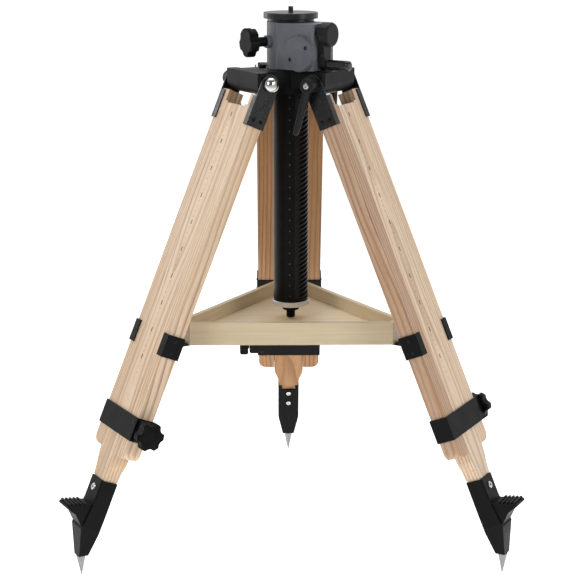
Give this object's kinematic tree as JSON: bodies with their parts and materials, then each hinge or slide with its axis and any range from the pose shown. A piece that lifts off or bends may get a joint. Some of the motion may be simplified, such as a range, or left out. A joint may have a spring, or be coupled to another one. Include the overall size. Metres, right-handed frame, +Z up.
{
  "type": "wooden tripod with geared column",
  "caption": "Field tripod for telescopes: wooden sliding legs with spiked feet, folding triangular tray, and a crank-geared centre column with a flat top plate and stud.",
  "frame": {"origin": "on the ground, under the middle of the whole object; the column axis is at x = 0, y = -0.098 m", "axes": "+Z up along the column, +Y towards the rear leg, +X towards the right front leg"},
  "size_m": [0.814, 0.725, 0.974],
  "materials": {
    "cast_black": "fine-textured black paint",
    "slate_paint": "fine-textured dark slate paint",
    "tube_black": "satin black anodised",
    "rack_steel": "blackened steel teeth",
    "plate_face": "turned and black anodised",
    "ring_metal": "knurled natural aluminium",
    "hammered_black": "hammered black paint",
    "sheet_black": "satin black powder coat",
    "knob_plastic": "moulded black plastic",
    "gear_steel": "cut steel",
    "bronze": "sintered bronze",
    "chrome": "polished chrome",
    "bright_steel": "turned bright steel",
    "ash": "oiled ash",
    "birch": "varnished birch plywood",
    "bush_plastic": "acetal",
    "level_glass": "bubble vial",
    "grip_plastic": "polished black plastic"
  },
  "bodies": {
    "head": {"head_crown": "cast_black", "gear_housing": "slate_paint", "bearing_cap": "slate_paint", "column_bushes": "bush_plastic", "gear_bushes": "bronze", "hinge_bolts": "bright_steel", "dome_nuts": "chrome", "set_screws": "sheet_black", "bubble_level": "level_glass", "brake_pad": "bronze"},
    "column": {"column_tube": "tube_black", "gear_rack": "rack_steel", "top_plate": "plate_face", "end_ring": "ring_metal"},
    "draw_bar": {"draw_rod": "bright_steel", "draw_knob": "knob_plastic"},
    "lift_gear": {"pinion_shaft": "gear_steel", "worm_wheel": "bronze"},
    "crank": {"worm_shaft": "gear_steel", "crank_arm": "cast_black", "grip_spindle": "chrome"},
    "grip": {"crank_grip": "grip_plastic"},
    "column_brake": {"brake_screw": "sheet_black", "brake_star": "knob_plastic"},
    "leg_left": {"rails_left": "ash", "brackets_left": "hammered_black", "clamp_band_left": "sheet_black", "tray_clip_left": "sheet_black"},
    "foot_board_left": {"board_left": "ash", "foot_left": "cast_black", "spike_left": "bright_steel", "foot_screws_left": "bright_steel"},
    "leg_clamp_left": {"clamp_knob_left": "knob_plastic"},
    "hinge_clamp_left": {"hinge_lever_left": "cast_black"},
    "leg_right": {"rails_right": "ash", "brackets_right": "hammered_black", "clamp_band_right": "sheet_black", "tray_clip_right": "sheet_black"},
    "foot_board_right": {"board_right": "ash", "foot_right": "cast_black", "spike_right": "bright_steel", "foot_screws_right": "bright_steel"},
    "leg_clamp_right": {"clamp_knob_right": "knob_plastic"},
    "hinge_clamp_right": {"hinge_lever_right": "cast_black"},
    "leg_rear": {"rails_rear": "ash", "brackets_rear": "hammered_black", "clamp_band_rear": "sheet_black", "tray_clip_rear": "sheet_black", "tray_hinge_pin": "bright_steel"},
    "foot_board_rear": {"board_rear": "ash", "foot_rear": "cast_black", "spike_rear": "bright_steel", "foot_screws_rear": "bright_steel"},
    "leg_clamp_rear": {"clamp_knob_rear": "knob_plastic"},
    "hinge_clamp_rear": {"hinge_lever_rear": "cast_black"},
    "tray": {"tray_floor": "birch", "tray_walls": "birch", "tray_stays": "sheet_black"}
  },
  "joints": [
    {"name": "column_lift", "type": "slide", "parent": "head", "child": "column", "axis": [0, 0, 1], "range_m": [0, 0.34]},
    {"name": "lift_gear_turn", "type": "hinge", "parent": "head", "child": "lift_gear", "pos_m": [0.04153, -0.12601, 0.8975], "axis": [0.5592, 0.829, 0], "range_deg": [0, 912]},
    {"name": "crank_turn", "type": "hinge", "parent": "head", "child": "crank", "pos_m": [0.03604, -0.15186, 0.9305], "axis": [0.829, -0.5592, 0], "range_deg": [-5469, 0]},
    {"name": "grip_spin", "type": "hinge", "parent": "crank", "child": "grip", "pos_m": [0.07749, -0.17982, 0.879], "axis": [0.829, -0.5592, 0], "continuous": true},
    {"name": "draw_bar_turn", "type": "hinge", "parent": "column", "child": "draw_bar", "pos_m": [0, -0.098, 0.7], "axis": [0, 0, 1], "continuous": true},
    {"name": "column_brake_turn", "type": "hinge", "parent": "head", "child": "column_brake", "pos_m": [-0.05298, -0.12617, 0.9145], "axis": [-0.8829, -0.4695, 0], "range_deg": [0, 360]},
    {"name": "leg_swing_rear", "type": "hinge", "parent": "head", "child": "leg_rear", "pos_m": [0, -0.0196, 0.847], "axis": [-1, 0, 0], "range_deg": [0, 20]},
    {"name": "board_slide_rear", "type": "slide", "parent": "leg_rear", "child": "foot_board_rear", "axis": [0, 0.4043, -0.9146], "range_m": [0, 0.34]},
    {"name": "leg_clamp_turn_rear", "type": "hinge", "parent": "leg_rear", "child": "leg_clamp_rear", "pos_m": [-0.09, 0.23675, 0.26714], "axis": [-1, 0, 0], "range_deg": [0, 360]},
    {"name": "hinge_clamp_turn_rear", "type": "hinge", "parent": "head", "child": "hinge_clamp_rear", "pos_m": [0, -0.0196, 0.847], "axis": [-1, 0, 0], "range_deg": [-70, 10]},
    {"name": "leg_swing_left", "type": "hinge", "parent": "head", "child": "leg_left", "pos_m": [-0.0679, -0.1372, 0.847], "axis": [0.5, -0.866, 0], "range_deg": [0, 20]},
    {"name": "board_slide_left", "type": "slide", "parent": "leg_left", "child": "foot_board_left", "axis": [-0.3502, -0.2022, -0.9146], "range_m": [0, 0.34]},
    {"name": "leg_clamp_turn_left", "type": "hinge", "parent": "leg_left", "child": "leg_clamp_left", "pos_m": [-0.24491, -0.34332, 0.26714], "axis": [0.5, -0.866, 0], "range_deg": [0, 360]},
    {"name": "hinge_clamp_turn_left", "type": "hinge", "parent": "head", "child": "hinge_clamp_left", "pos_m": [-0.0679, -0.1372, 0.847], "axis": [0.5, -0.866, 0], "range_deg": [-70, 10]},
    {"name": "leg_swing_right", "type": "hinge", "parent": "head", "child": "leg_right", "pos_m": [0.0679, -0.1372, 0.847], "axis": [0.5, 0.866, 0], "range_deg": [0, 20]},
    {"name": "board_slide_right", "type": "slide", "parent": "leg_right", "child": "foot_board_right", "axis": [0.3502, -0.2022, -0.9146], "range_m": [0, 0.34]},
    {"name": "leg_clamp_turn_right", "type": "hinge", "parent": "leg_right", "child": "leg_clamp_right", "pos_m": [0.33491, -0.18743, 0.26714], "axis": [0.5, 0.866, 0], "range_deg": [0, 360]},
    {"name": "hinge_clamp_turn_right", "type": "hinge", "parent": "head", "child": "hinge_clamp_right", "pos_m": [0.0679, -0.1372, 0.847], "axis": [0.5, 0.866, 0], "range_deg": [-70, 10]},
    {"name": "tray_fold", "type": "hinge", "parent": "leg_rear", "child": "tray", "pos_m": [0, 0.148, 0.396], "axis": [1, 0, 0], "range_deg": [0, 110]}
  ],
  "couplings": [
    {"joint": "lift_gear_turn", "follows": "column_lift", "rad_per_m": 46.75},
    {"joint": "crank_turn", "follows": "column_lift", "rad_per_m": -280.5},
    {"joint": "leg_swing_left", "follows": "leg_swing_rear", "ratio": 1},
    {"joint": "leg_swing_right", "follows": "leg_swing_rear", "ratio": 1},
    {"joint": "tray_fold", "follows": "leg_swing_rear", "ratio": 5.5}
  ]
}
